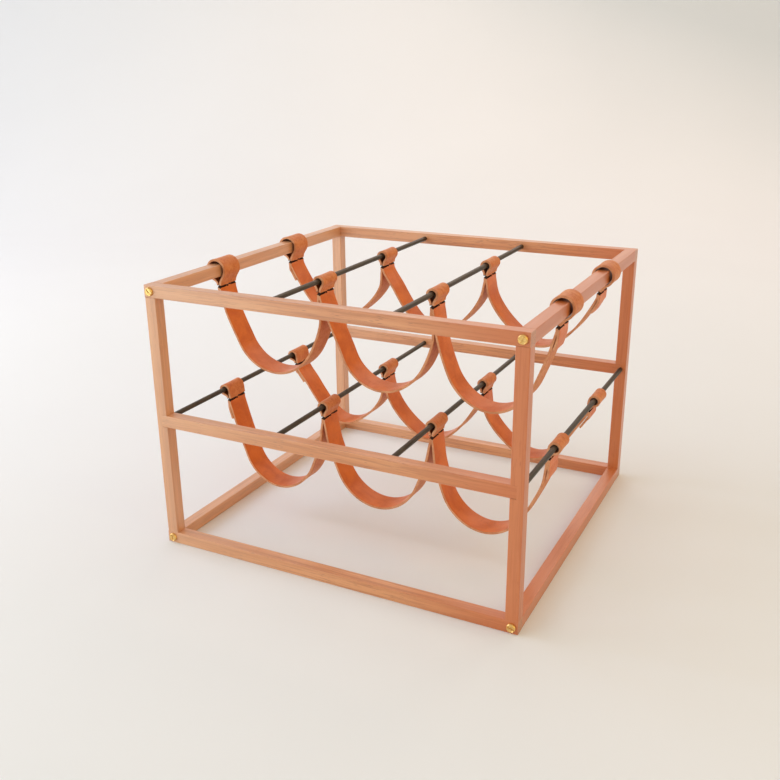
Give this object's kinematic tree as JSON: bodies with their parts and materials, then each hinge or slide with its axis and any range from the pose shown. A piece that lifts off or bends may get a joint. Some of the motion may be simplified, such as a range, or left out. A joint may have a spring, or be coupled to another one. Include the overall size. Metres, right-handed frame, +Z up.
{
  "type": "wine rack",
  "caption": "Table-top wine rack: a square-bar wooden box frame with steel rods front to back, from which leather straps hang in slings that cradle lying bottles.",
  "frame": {"origin": "middle of the rectangle that the rack stands on, on the floor plane", "axes": "+X to the rack's right along its width, +Y from the front frame to the back frame, +Z up"},
  "size_m": [0.3854, 0.3624, 0.2732],
  "materials": {
    "wood": "oiled",
    "rod_steel": "dark bronze, satin",
    "brass": "satin",
    "leather": "vegetable tanned, undyed edge"
  },
  "bodies": {
    "frame": {"front_top_rail": "wood", "front_middle_rail": "wood", "front_bottom_rail": "wood", "back_top_rail": "wood", "back_middle_rail": "wood", "back_bottom_rail": "wood", "front_left_post": "wood", "front_right_post": "wood", "back_left_post": "wood", "back_right_post": "wood", "left_top_side_rail": "wood", "left_bottom_side_rail": "wood", "right_top_side_rail": "wood", "right_bottom_side_rail": "wood", "upper_left_rod": "rod_steel", "upper_right_rod": "rod_steel", "outer_left_rod": "rod_steel", "inner_left_rod": "rod_steel", "inner_right_rod": "rod_steel", "outer_right_rod": "rod_steel", "front_top_left_screw": "brass", "front_top_left_screw_cup": "brass", "front_top_right_screw": "brass", "front_top_right_screw_cup": "brass", "front_bottom_left_screw": "brass", "front_bottom_left_screw_cup": "brass", "front_bottom_right_screw": "brass", "front_bottom_right_screw_cup": "brass", "back_top_left_screw": "brass", "back_top_left_screw_cup": "brass", "back_top_right_screw": "brass", "back_top_right_screw_cup": "brass", "back_bottom_left_screw": "brass", "back_bottom_left_screw_cup": "brass", "back_bottom_right_screw": "brass", "back_bottom_right_screw_cup": "brass"},
    "upper_front_sling_strap": {"upper_front_strap": "leather"},
    "upper_back_sling_strap": {"upper_back_strap": "leather"},
    "lower_front_sling_strap": {"lower_front_strap": "leather"},
    "lower_back_sling_strap": {"lower_back_strap": "leather"}
  },
  "joints": [
    {"name": "upper_front_strap_slide", "type": "slide", "parent": "frame", "child": "upper_front_sling_strap", "axis": [0, 1, 0], "range_m": [-0.087, 0.05]},
    {"name": "upper_back_strap_slide", "type": "slide", "parent": "frame", "child": "upper_back_sling_strap", "axis": [0, 1, 0], "range_m": [-0.054, 0.083]},
    {"name": "lower_front_strap_slide", "type": "slide", "parent": "frame", "child": "lower_front_sling_strap", "axis": [0, 1, 0], "range_m": [-0.087, 0.05]},
    {"name": "lower_back_strap_slide", "type": "slide", "parent": "frame", "child": "lower_back_sling_strap", "axis": [0, 1, 0], "range_m": [-0.054, 0.083]}
  ]
}
